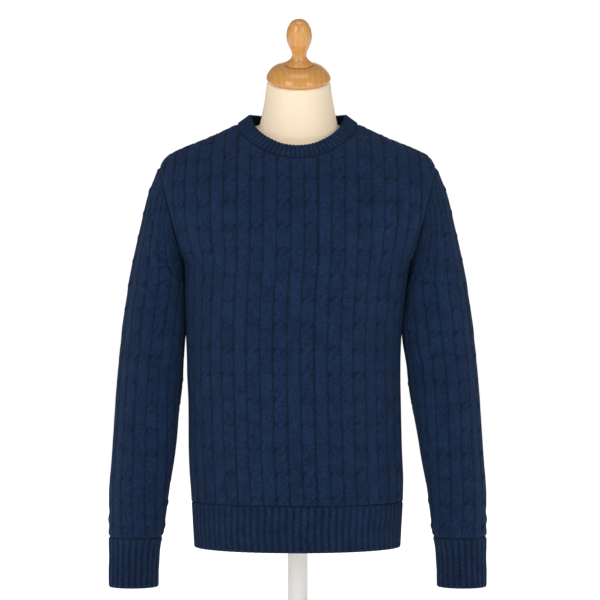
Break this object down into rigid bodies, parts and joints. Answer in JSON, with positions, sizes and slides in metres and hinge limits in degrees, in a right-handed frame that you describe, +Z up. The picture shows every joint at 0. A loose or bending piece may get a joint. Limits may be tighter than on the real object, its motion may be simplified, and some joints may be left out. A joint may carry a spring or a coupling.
{
  "type": "cable knit sweater on a dress form",
  "caption": "Long-sleeved crew-neck cable knit sweater with ribbed neckband, welt and cuffs, on a limbless dress form with a turned wooden cap",
  "frame": {"origin": "middle of the stand's base, on its underside", "axes": "+Z up; -Y is the front of the sweater; +X is the wearer's left"},
  "size_m": [0.6014, 0.3, 0.9896],
  "materials": {
    "navy_wool": "knitted wool",
    "cream_jersey": "fine jersey",
    "beech": "varnished, turned",
    "white_paint": "satin"
  },
  "bodies": {
    "root": {"front": "navy_wool", "back": "navy_wool", "sleeve_left": "navy_wool", "sleeve_right": "navy_wool", "neckband": "navy_wool", "welt_front": "navy_wool", "welt_back": "navy_wool", "cuff_left": "navy_wool", "cuff_right": "navy_wool", "form_body": "cream_jersey", "neck_cap": "beech", "finial": "beech", "pole": "white_paint", "base": "white_paint"}
  },
  "joints": []
}
